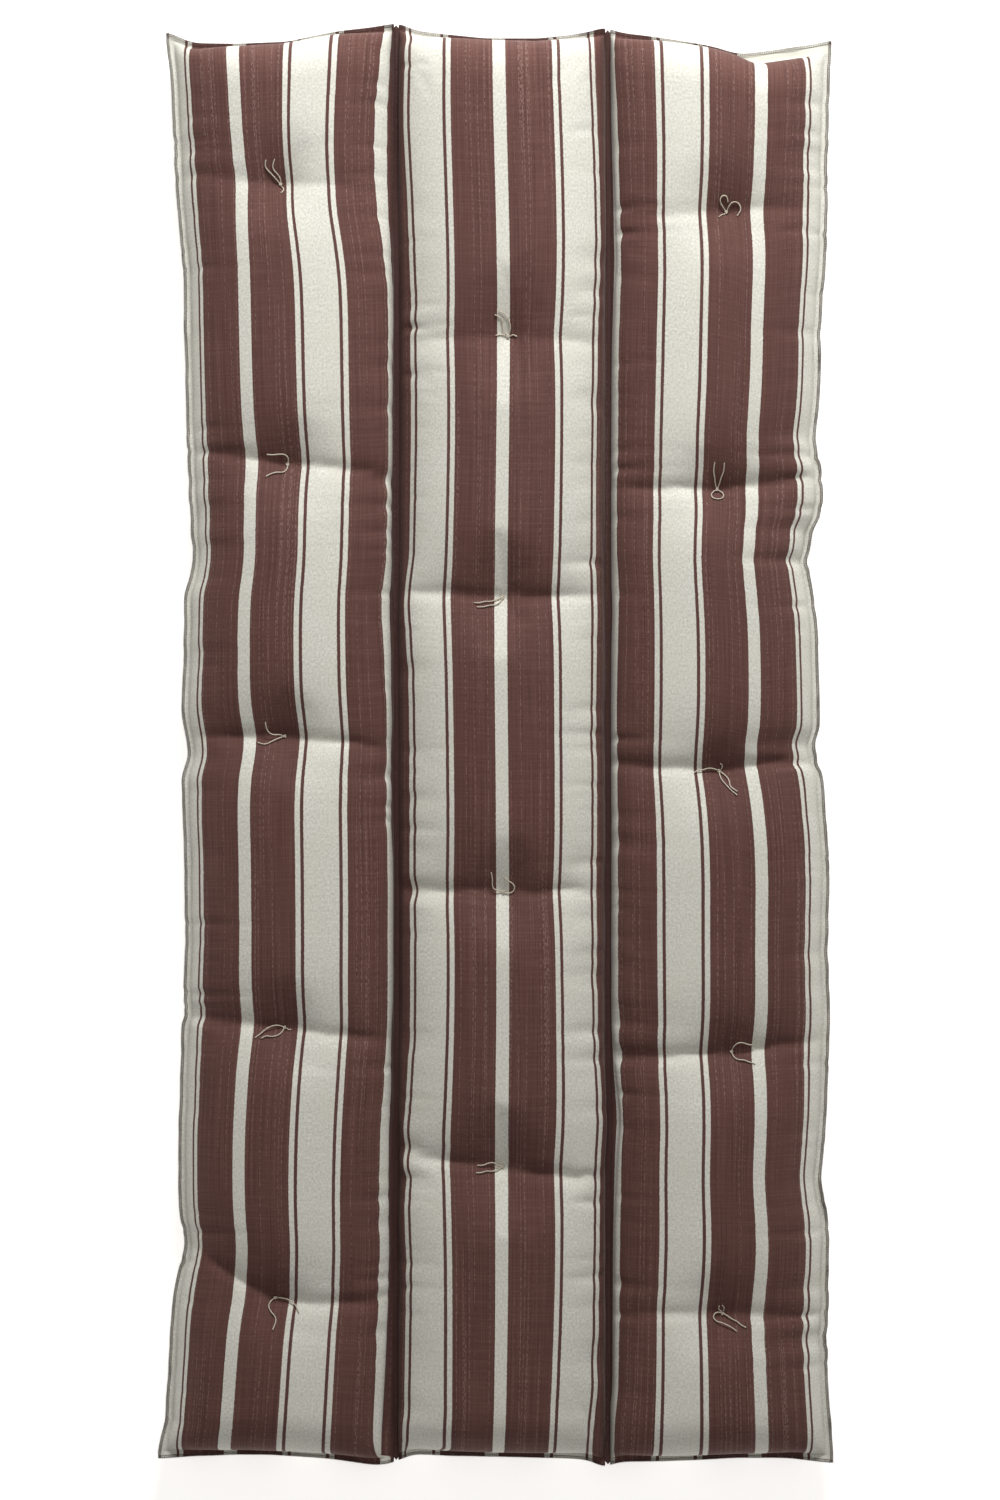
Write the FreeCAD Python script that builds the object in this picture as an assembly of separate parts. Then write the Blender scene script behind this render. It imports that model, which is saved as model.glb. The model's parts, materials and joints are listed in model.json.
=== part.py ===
import FreeCAD, Part
import math
import os

os.makedirs("parts", exist_ok=True)
Vector = FreeCAD.Vector

# A futon mattress of three stuffed tubes, side by side and joined by two sewn valleys.
# +X is across the tubes, +Y is towards the head end, +Z is up.
# The origin is on the floor, under the middle of the mattress.
# All sizes are in millimetres.

# Overall sizes
seam_length = 1846.0          # end seam to end seam, without the seam allowance
valley_spacing = 277.0        # between the centre lines of the two valleys
side_tube_width = 270.5       # a side tube, valley wall to side seam
crown_height = 96.0           # floor to the top of the filled tubes
seam_height = 32.0            # floor to the seams, which lie low because the filling sags

# Ticking
ticking_thickness = 1.2
corner_radius = 60.0          # of a tube in plan
shoulder_radius = 42.0        # where the top turns down to the seam
heel_radius = 28.0            # where the underside turns up to the seam
filling_gap = 0.4             # between the filling and the ticking's top and walls

# Seam allowance, which stands out round the whole edge
allowance_side = 9.0          # halfway along a side
allowance_end = 9.0           # halfway along an end
ear_reach_side = 29.0         # an outer corner, beyond the side seam
ear_reach_end = 26.0          # an outer corner, beyond the end seam
valley_reach_end = 27.5       # the corners at the ends of the valleys
overlock_proud = 1.0          # overlocked edge: how far it stands out of the cut edge
overlock_depth = 3.5          # and how far it reaches in over the allowance
overlock_thickness = 0.7      # of the thread on each face
overlock_valley_gap = 1.5     # from the edge thread's end to the valley lip

# Valleys
valley_wall_offset = 6.0      # from a valley's centre line to the tube's wall
valley_web_width = 6.0        # the sewn strip between two tubes
web_clearance = 0.3           # from the strip to the lip of the tube that folds away

# Tuft ties
dish_radius = 66.0            # of the hollow that a tie pulls into the top
dish_depth = 26.0
base_dish_radius = 40.0       # of the hollow under the mattress
base_dish_depth = 8.0
twine_diameter = 1.6
knot_diameter = 4.8
needle_hole_diameter = 2.2
knot_clearance = 0.05
base_stitch_length = 12.0     # the twine that shows under the mattress
base_stitch_clearance = 0.1
stub_length = 3.2             # from the knot's centre to where a tail begins
tail_clearance = 0.6          # from a tail to the ticking under it

twine_radius = twine_diameter / 2
knot_radius = knot_diameter / 2
valley_x = valley_spacing / 2
half_length = seam_length / 2
side_seam_x = valley_x + valley_wall_offset + side_tube_width
lip_offset = valley_web_width / 2

# Each tie has its knot's place (x, y), and its tails. A tail is a route of hand-chosen points,
# measured from the knot. A tail listed as a loop comes back to its knot.
tufts = {
    "left_1": ((-288, 732), {
        "a": [(-5, 5.6), (-10.9, 12.1), (-16.1, 16.9), (-20.4, 22.6), (-18.5, 30)],
        "b": [(0.2, 7), (-3.6, 12.8), (-8.8, 17.4), (-10.4, 23.6), (-7.2, 31)]}),
    "left_2": ((-279, 368), {
        "a": [(1.6, 7.4), (-3, 12.6), (-11, 12.8), (-19, 11.6), (-27, 12.4)],
        "b": [(-0.6, -6.8), (-5.6, -11), (-13.4, -10.6), (-20.8, -12.4), (-27.6, -16.4)]}),
    "left_3": ((-283, 14), {
        "a": [(-6.3, -2), (-14.3, -5.2), (-21.2, -9.5), (-28.2, -10.7), (-34.7, -7.9)],
        "b": [(-6.3, 2.4), (-13.9, 1.6), (-19.8, 4), (-23.4, 9.6), (-24.6, 18)]}),
    "left_4": ((-283, -365), {
        "a": [(-7.3, 3.2), (-16.3, 2.4), (-24.7, -1.8), (-31.2, -8.3), (-37.8, -12.4)],
        "b": [(-3.4, -6.4), (-9.6, -10.6), (-17.4, -11.6), (-24.6, -9.8), (-29.8, -13.6)]}),
    "left_5": ((-295, -717), {
        "a": [(7.9, 0), (15.9, -1.2), (23.2, -4.9), (28.4, -10.9), (30.9, -17.5)],
        "b": [(-6.5, -3.6), (-8.9, -10.8), (-4.6, -17.6), (1.2, -23), (1.4, -31), (-2.6, -39)]}),
    "middle_1": ((8, 534), {
        "a": [(3, 7.5), (2.6, 16), (-0.6, 23.4), (-5.4, 29.4), (-12.3, 32)],
        "b": [(-5, 4.6), (-7.7, 11.8), (-6.6, 19.1), (-10.2, 24.8), (-17.3, 27)]}),
    "middle_2": ((1, 195), {
        "a": [(-7.1, -2.2), (-15.1, -6), (-23.6, -5.4), (-31.6, -8.4), (-37.5, -7.2)],
        "b": [(-3, -6.2), (-9.4, -10.4), (-17.4, -10.6), (-25.4, -13.2), (-33.4, -13)]}),
    "middle_3": ((2, -189), {
        "a": [(-6.9, 2.2), (-12.9, 4), (-14.9, 10.3), (-14.2, 17.4), (-16, 26)],
        "b": [(6.4, -1.8), (12.6, 0.6), (15, 6.4), (12, 12), (6, 14.6), (1.6, 19.4)]}),
    "middle_4": ((1, -547), {
        "a": [(-6, 2.4), (-12.4, 6.2), (-19.4, 5.6), (-25.4, 2.2), (-33.4, 2.8)],
        "b": [(-6, -3), (-13.6, -5.6), (-21.6, -4.4), (-28.8, -7), (-34.6, -6.4)]}),
    "right_1": ((292, 696), {
        "a": [(2.8, 7.1), (7.6, 12.6), (14.2, 12.3), (18.3, 6.8), (18.1, 0), (13.9, -5)],
        "b": [(-4, 5.4), (-8, 10.6), (-8.6, 17), (-4.2, 21.2), (1, 18.6), (1.8, 12.4)]}),
    "right_2": ((280, 335), {
        "a": [(-2.6, 7), (-3.6, 15.6), (-5.6, 24.6), (-3.8, 34.4)],
        "b": [(3.2, 7.6), (5, 16), (8.8, 24.2), (8.4, 33.6)],
        "loop": [(5.6, -3), (8.8, -7), (6.6, -11.6), (0, -12.8), (-6.4, -11), (-8, -6.4),
                 (-5, -2.6)]}),
    "right_3": ((283, -31), {
        "a": [(-7.5, 3), (-15, 3.6), (-21.8, 1), (-28, 1.2), (-33, -2.2)],
        "b": [(0.4, -6), (3.2, -12.4), (8.7, -18.6), (14.8, -25.6), (22.2, -31.4)],
        "c": [(5.2, -3.8), (10, -8.2), (12.8, -13.6), (13, -19.4), (17.6, -23.4), (22.6, -26.6)]}),
    "right_4": ((299, -397), {
        "a": [(2, 6.9), (7, 12.1), (14.6, 12.8), (21.4, 9.8), (28, 9.2)],
        "b": [(2.4, -6.6), (8.6, -10), (16, -9.6), (22.6, -12.8), (30, -14.2)]}),
    "right_5": ((287, -737), {
        "a": [(6.2, -2.8), (12.2, -7), (18.4, -9.2), (23.2, -13.8), (30, -16.8)],
        "b": [(-5.6, 2.2), (-11, 0.2), (-12.4, -5.2), (-8, -9.6), (-1, -11), (5.6, -14),
              (12, -17), (17.4, -21.4)]}),
}

# Each tube's walls at seam height, and which of its sides are valleys
tubes = {
    "left": (-side_seam_x, -valley_x - valley_wall_offset),
    "middle": (-valley_x + valley_wall_offset, valley_x - valley_wall_offset),
    "right": (valley_x + valley_wall_offset, side_seam_x),
}


def dish_sphere_radius(radius, depth):
    """Radius of the sphere that cuts a dish of this radius and depth."""
    return (radius ** 2 + depth ** 2) / (2 * depth)


dish_sphere = dish_sphere_radius(dish_radius, dish_depth)
base_dish_sphere = dish_sphere_radius(base_dish_radius, base_dish_depth)


def tuft_places(tube):
    return [place for name, (place, tails) in tufts.items() if name.startswith(tube)]


def edges_at_height(solid, height):
    """The closed run of edges round a solid at one height."""
    return [edge for edge in solid.Edges
            if abs(edge.BoundBox.ZMin - height) < 1e-6 and abs(edge.BoundBox.ZMax - height) < 1e-6]


def stuffed_tube(tube, inset, base_inset):
    """A rounded bar, pulled in at each tie, and smaller by inset than the tube's outside."""
    x_low, x_high = tubes[tube]
    bar = Part.makeBox(
        x_high - x_low - 2 * inset,
        seam_length - 2 * inset,
        crown_height - inset - base_inset,
        Vector(x_low + inset, -half_length + inset, base_inset))
    upright = [edge for edge in bar.Edges if edge.BoundBox.ZLength > 1.0]
    bar = bar.makeFillet(corner_radius - inset, upright)
    bar = bar.makeFillet(shoulder_radius - inset, edges_at_height(bar, crown_height - inset))
    bar = bar.makeFillet(heel_radius - inset, edges_at_height(bar, base_inset))
    for x, y in tuft_places(tube):
        top_centre = Vector(x, y, crown_height - dish_depth + dish_sphere)
        base_centre = Vector(x, y, base_dish_depth - base_dish_sphere)
        bar = bar.cut(Part.makeSphere(dish_sphere + inset, top_centre))
        bar = bar.cut(Part.makeSphere(base_dish_sphere + inset, base_centre))
    return bar


def needle_holes(tube):
    """The holes that the ties of one tube pass through."""
    holes = [Part.makeCylinder(needle_hole_diameter / 2, crown_height, Vector(x, y, 0))
             for x, y in tuft_places(tube)]
    return Part.makeCompound(holes)


def allowance_outline(tube, grow=0.0):
    """The cut edge of one tube's ticking, in plan: ears at the corners, sides drawn in.

    grow moves every edge but the valleys' outwards, or inwards where it is negative.
    """
    end_y = half_length + allowance_end + grow
    valley_y = half_length + valley_reach_end + grow
    if tube == "middle":
        lip_x = valley_x - lip_offset
        corners = [(-lip_x, -valley_y), (lip_x, -valley_y), (lip_x, valley_y), (-lip_x, valley_y)]
        middles = [(0, -end_y), None, (0, end_y), None]
    else:
        side = 1 if tube == "right" else -1
        lip_x = side * (valley_x + lip_offset)
        ear_x = side * (side_seam_x + ear_reach_side + grow)
        side_x = side * (side_seam_x + allowance_side + grow)
        ear_y = half_length + ear_reach_end + grow
        corners = [(lip_x, -valley_y), (ear_x, -ear_y), (ear_x, ear_y), (lip_x, valley_y)]
        middles = [((lip_x + ear_x) / 2, -end_y), (side_x, 0), ((lip_x + ear_x) / 2, end_y), None]
    edges = []
    for index, middle in enumerate(middles):
        start = Vector(*corners[index], 0)
        end = Vector(*corners[(index + 1) % 4], 0)
        if middle is None:
            edges.append(Part.LineSegment(start, end).toShape())
        else:
            edges.append(Part.Arc(start, Vector(*middle, 0), end).toShape())
    return Part.Face(Part.Wire(edges))


def slab(face, low, high):
    """A flat face raised into a plate between two heights."""
    plate = face.copy()
    plate.translate(Vector(0, 0, low))
    return plate.extrude(Vector(0, 0, high - low))


def half_space(low, high):
    """A block over the whole mattress between two heights."""
    reach = seam_length
    return Part.makeBox(2 * reach, 2 * reach, high - low, Vector(-reach, -reach, low))


def ticking(tube, outside, inside, holes, upper):
    """One half of a tube's cover, from the seam up or down, with its seam allowance."""
    if upper:
        half = outside.common(half_space(seam_height, crown_height))
        lip = slab(allowance_outline(tube), seam_height, seam_height + ticking_thickness)
    else:
        half = outside.common(half_space(0, seam_height))
        lip = slab(allowance_outline(tube), seam_height - ticking_thickness, seam_height)
    return half.fuse(lip).cut(inside).cut(holes).removeSplitter()


def overlocked_edge(tube):
    """The thread over the cut edge, on every side of a tube but its valleys."""
    outline = allowance_outline(tube)
    grown = allowance_outline(tube, overlock_proud)
    shrunk = allowance_outline(tube, -overlock_depth)
    bite = ticking_thickness + overlock_thickness
    ring = slab(grown, seam_height - bite, seam_height + bite)
    ring = ring.cut(slab(shrunk, seam_height - bite, seam_height + bite))
    ring = ring.cut(slab(outline, seam_height - ticking_thickness, seam_height + ticking_thickness))
    stop = lip_offset + overlock_depth + overlock_valley_gap
    for valley in (-valley_x, valley_x):
        box = Part.makeBox(2 * stop, 2 * seam_length, 2 * crown_height,
                           Vector(valley - stop, -seam_length, -crown_height))
        ring = ring.cut(box)
    return ring


def valley_web(side):
    """The sewn strip along one valley. It stays with the tube on its right."""
    y_reach = half_length + valley_reach_end
    low = side * valley_x - lip_offset + web_clearance
    high = side * valley_x + lip_offset
    return Part.makeBox(high - low, 2 * y_reach, 2 * ticking_thickness,
                        Vector(low, -y_reach, seam_height - ticking_thickness))


def dish_height(distance):
    """Height of the ticking at a distance from a tie."""
    rise = dish_sphere - math.sqrt(dish_sphere ** 2 - distance ** 2)
    return crown_height - dish_depth + rise


def tail_route(place, points, loop):
    """A tail's points in space, lying just over the ticking, from the knot's edge to its tip."""
    first = Vector(*points[0], 0).normalize() * stub_length
    flat = [first] + [Vector(*point, 0) for point in points]
    if loop:
        flat.append(Vector(*points[-1], 0).normalize() * stub_length)
    lift = twine_radius + tail_clearance
    return [Vector(place[0] + p.x, place[1] + p.y, dish_height(p.Length) + lift) for p in flat]


def twine(route, name):
    """A tube of twine: straight runs joined by tangent arcs as large as the runs allow."""
    edges = []
    radii = []
    here = route[0]
    for before, corner, after in zip(route, route[1:], route[2:]):
        into = (corner - before).normalize()
        out = (after - corner).normalize()
        turn = into.getAngle(out)
        shorter = min((corner - before).Length, (after - corner).Length)
        setback = 0.45 * shorter
        radius = setback / math.tan(turn / 2)
        radii.append(radius)
        arc_start = corner - into * setback
        arc_end = corner + out * setback
        bisector = (out - into).normalize()
        centre = corner + bisector * math.hypot(setback, radius)
        arc_middle = centre - bisector * radius
        edges.append(Part.LineSegment(here, arc_start).toShape())
        edges.append(Part.Arc(arc_start, arc_middle, arc_end).toShape())
        here = arc_end
    edges.append(Part.LineSegment(here, route[-1]).toShape())
    path = Part.Wire(edges)
    section = Part.Wire(Part.makeCircle(twine_radius, route[0], route[1] - route[0]))
    tube = path.makePipeShell([section], True, False)
    expected = math.pi * twine_radius ** 2 * path.Length
    print(f"{name}: length {path.Length:.1f}, tightest bend {min(radii):.1f}, "
          f"volume / expected {tube.Volume / expected:.4f}")
    return tube


def stub(start, toward):
    """The short end of a tail that comes out of its knot."""
    direction = (toward - start).normalize()
    return Part.makeCylinder(twine_radius, stub_length, start - direction * stub_length, direction)


def tuft_tie(place, routes):
    """A tie: its knot in the dish, the strand through the tube and the stitch under it."""
    x, y = place
    knot_z = dish_height(0) + knot_radius + knot_clearance
    edge_z = base_dish_depth - base_dish_sphere + math.sqrt(
        base_dish_sphere ** 2 - (base_stitch_length / 2) ** 2)
    stitch_z = edge_z - twine_radius - base_stitch_clearance
    tie = Part.makeSphere(knot_radius, Vector(x, y, knot_z))
    tie = tie.fuse(Part.makeCylinder(twine_radius, knot_z - stitch_z, Vector(x, y, stitch_z)))
    stitch_start = Vector(x - base_stitch_length / 2, y, stitch_z)
    tie = tie.fuse(Part.makeCylinder(twine_radius, base_stitch_length, stitch_start, Vector(1, 0, 0)))
    for route, loop in routes:
        tie = tie.fuse(stub(route[0], route[1]))
        if loop:
            tie = tie.fuse(stub(route[-1], route[-2]))
    return tie


def save(shape, node):
    solids = shape.Solids
    whole = solids[0] if len(solids) == 1 else Part.makeCompound(solids)
    if not whole.isValid():
        print(f"{node} is not valid")
    whole.exportStep(os.path.join("parts", node + ".step"))


for tube in tubes:
    outside = stuffed_tube(tube, 0.0, 0.0)
    inside = stuffed_tube(tube, ticking_thickness, ticking_thickness)
    filling = stuffed_tube(tube, ticking_thickness + filling_gap, ticking_thickness)
    holes = needle_holes(tube)
    save(ticking(tube, outside, inside, holes, True), f"{tube}_top_ticking")
    save(ticking(tube, outside, inside, holes, False), f"{tube}_bottom_ticking")
    save(filling.cut(holes), f"{tube}_filling")
    save(overlocked_edge(tube), f"{tube}_overlocked_edge")

save(valley_web(-1), "left_valley_web")
save(valley_web(1), "right_valley_web")

for tuft, (place, tails) in tufts.items():
    routes = []
    for tail, points in tails.items():
        loop = tail == "loop"
        route = tail_route(place, points, loop)
        routes.append((route, loop))
        save(twine(route, f"{tuft}_tail_{tail}"), f"{tuft}_tail_{tail}")
    save(tuft_tie(place, routes), f"{tuft}_tie")
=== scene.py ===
import json
import math

import bmesh
import bpy
import numpy as np
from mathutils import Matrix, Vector, noise
from mathutils.bvhtree import BVHTree


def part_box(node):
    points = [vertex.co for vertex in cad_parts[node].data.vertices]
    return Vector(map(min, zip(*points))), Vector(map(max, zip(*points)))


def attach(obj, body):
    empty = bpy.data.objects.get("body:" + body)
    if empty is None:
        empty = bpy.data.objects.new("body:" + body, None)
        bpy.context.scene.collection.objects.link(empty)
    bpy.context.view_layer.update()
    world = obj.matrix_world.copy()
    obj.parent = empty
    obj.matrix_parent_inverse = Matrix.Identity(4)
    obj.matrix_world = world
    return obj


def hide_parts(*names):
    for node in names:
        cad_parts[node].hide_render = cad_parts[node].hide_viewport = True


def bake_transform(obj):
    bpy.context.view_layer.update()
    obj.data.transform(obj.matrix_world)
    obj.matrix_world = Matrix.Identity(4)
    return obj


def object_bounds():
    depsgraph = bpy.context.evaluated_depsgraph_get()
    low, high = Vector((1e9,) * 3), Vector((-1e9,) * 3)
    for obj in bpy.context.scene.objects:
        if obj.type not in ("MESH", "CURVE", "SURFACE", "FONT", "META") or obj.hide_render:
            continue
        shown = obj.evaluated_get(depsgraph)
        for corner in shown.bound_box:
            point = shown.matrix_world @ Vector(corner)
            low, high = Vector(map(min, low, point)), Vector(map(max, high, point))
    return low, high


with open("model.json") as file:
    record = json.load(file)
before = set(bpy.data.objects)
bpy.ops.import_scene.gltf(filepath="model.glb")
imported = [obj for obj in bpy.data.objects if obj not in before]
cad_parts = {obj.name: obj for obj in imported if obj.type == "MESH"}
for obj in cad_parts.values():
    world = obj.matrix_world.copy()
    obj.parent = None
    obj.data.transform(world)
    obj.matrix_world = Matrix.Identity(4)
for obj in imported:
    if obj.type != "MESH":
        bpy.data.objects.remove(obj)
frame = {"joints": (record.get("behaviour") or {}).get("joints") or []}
cad_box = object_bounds()

# ---------------------------------------------------------------- sizes, in metres

crown_z = cad_box[1].z
seam_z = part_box("left_top_ticking")[0].z
valley_x = frame["joints"][0]["pos_m"][0]

cloth_step = 0.0062           # spacing of the grid of a top panel
base_step = 0.0124            # and of an underside
# Flat width of each tube's top panel and underside, seam to seam, and their flat lengths
panel_widths = {"left": (0.324, 0.303), "middle": (0.329, 0.308), "right": (0.324, 0.303)}
panel_lengths = (1.952, 1.915)
allowance = 0.009             # seam allowance beyond the stitches
valley_lip = 0.003            # from the middle of a valley to the stitches
web_half_width = 0.0036
web_half_thickness = 0.0012
plan_length = 1.84            # nominal length of the stuffed tubes
shoulders = (0.066, 0.045)    # how far the ends slope, on top and underneath
sewn_radius = 0.006           # of the spot that a tie holds fast
tie_spacing_reach = 0.05      # how far a tie keeps the cloth from drifting sideways
outer_bow = 0.007             # sideways drift of an outer tube's cloth between its ties
middle_bow = 0.004            # and of the middle tube's
foot_shift = 0.012            # drift of the middle tube's cloth towards its foot
waist_shift = 0.013           # drift at the first tie of the left tube
stripe_start = 0.096          # middle of a broad cream stripe across the flat cloth
stripe_repeat = 0.1           # from there to the middle of the next narrow one
twine_radius = 0.0008
stub_length = 0.0032          # from a knot's centre to where a tail begins
tube_pitch = 0.3445           # from one tube's centre to the next across the flat cloth

# ---------------------------------------------------------------- drawn outlines

# The cut edges of the sides and the lines along which the tubes touch: (y, x), foot to head
left_side = [(-0.93, -0.452), (-0.88, -0.441), (-0.80, -0.436), (-0.73, -0.433), (-0.685, -0.424),
             (-0.652, -0.414), (-0.61, -0.423), (-0.51, -0.424), (-0.42, -0.421), (-0.36, -0.419),
             (-0.24, -0.415), (-0.14, -0.416), (-0.04, -0.421), (-0.012, -0.410), (0.05, -0.420),
             (0.16, -0.416), (0.20, -0.416), (0.243, -0.403), (0.28, -0.408), (0.38, -0.412),
             (0.51, -0.415), (0.62, -0.417), (0.735, -0.428), (0.86, -0.433), (0.94, -0.441)]
right_side = [(-0.93, 0.434), (-0.90, 0.432), (-0.82, 0.426), (-0.64, 0.429), (-0.60, 0.424),
              (-0.562, 0.417), (-0.51, 0.424), (-0.44, 0.427), (-0.36, 0.430), (-0.26, 0.427),
              (-0.15, 0.429), (-0.04, 0.421), (-0.01, 0.411), (0.03, 0.417), (0.09, 0.415),
              (0.16, 0.413), (0.20, 0.408), (0.235, 0.401), (0.27, 0.404), (0.31, 0.420),
              (0.36, 0.420), (0.395, 0.411), (0.48, 0.417), (0.56, 0.418), (0.64, 0.425),
              (0.87, 0.429), (0.93, 0.433)]
left_valley = [(-0.95, -0.158), (-0.89, -0.156), (-0.81, -0.151), (-0.68, -0.145), (-0.55, -0.146),
               (-0.50, -0.145), (-0.45, -0.139), (-0.35, -0.132), (-0.20, -0.132), (-0.05, -0.134),
               (0.06, -0.134), (0.14, -0.140), (0.186, -0.145), (0.22, -0.140), (0.25, -0.134),
               (0.38, -0.132), (0.60, -0.132), (0.72, -0.138), (0.82, -0.145), (0.95, -0.138)]
right_valley = [(-0.95, 0.131), (-0.91, 0.133), (-0.84, 0.145), (-0.64, 0.146), (-0.53, 0.150),
                (-0.485, 0.154), (-0.43, 0.148), (-0.35, 0.142), (-0.04, 0.142), (0.06, 0.140),
                (0.12, 0.142), (0.18, 0.145), (0.24, 0.141), (0.31, 0.140), (0.45, 0.142),
                (0.53, 0.144), (0.64, 0.149), (0.74, 0.146), (0.84, 0.141), (0.93, 0.134)]

# The cut edges of the two ends: (x, y), left to right
head_end = [(-0.45, 0.938), (-0.432, 0.934), (-0.407, 0.922), (-0.34, 0.921), (-0.28, 0.924),
            (-0.224, 0.936), (-0.192, 0.940), (-0.146, 0.946), (-0.134, 0.949), (-0.117, 0.939),
            (-0.081, 0.934), (-0.016, 0.928), (0.05, 0.928), (0.115, 0.936), (0.134, 0.943),
            (0.154, 0.936), (0.213, 0.928), (0.278, 0.917), (0.31, 0.907), (0.33, 0.909),
            (0.40, 0.919), (0.44, 0.927)]
foot_end = [(-0.46, -0.932), (-0.413, -0.929), (-0.34, -0.926), (-0.276, -0.928), (-0.224, -0.932),
            (-0.166, -0.941), (-0.145, -0.938), (-0.117, -0.926), (-0.074, -0.928), (-0.016, -0.929),
            (0.063, -0.931), (0.115, -0.933), (0.132, -0.944), (0.154, -0.936), (0.213, -0.935),
            (0.31, -0.931), (0.376, -0.931), (0.44, -0.938)]

# Each tie: its knot's place (x, y), how deep it pulls, and its crease, which runs right across
# the tube: (depth, rise of its left end, rise of its right end)
ties = {
    "left_1": (-0.288, 0.732, 0.022, (0.004, 0.012, -0.004)),
    "left_2": (-0.279, 0.368, 0.013, (0.009, 0.016, -0.010)),
    "left_3": (-0.283, 0.014, 0.013, (0.010, 0.000, -0.016)),
    "left_4": (-0.283, -0.365, 0.013, (0.009, 0.010, -0.018)),
    "left_5": (-0.295, -0.717, 0.013, (0.009, 0.066, -0.012)),
    "middle_1": (0.008, 0.534, 0.022, (0.004, -0.006, -0.008)),
    "middle_2": (0.001, 0.195, 0.013, (0.009, 0.008, 0.004)),
    "middle_3": (0.002, -0.189, 0.013, (0.008, 0.006, 0.002)),
    "middle_4": (0.001, -0.547, 0.013, (0.010, 0.018, -0.020)),
    "right_1": (0.292, 0.696, 0.022, (0.004, -0.010, 0.010)),
    "right_2": (0.280, 0.335, 0.013, (0.009, 0.004, 0.014)),
    "right_3": (0.283, -0.031, 0.013, (0.010, 0.008, 0.020)),
    "right_4": (0.299, -0.397, 0.013, (0.009, -0.006, 0.014)),
    "right_5": (0.287, -0.737, 0.020, (0.005, 0.004, 0.000)),
}

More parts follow.
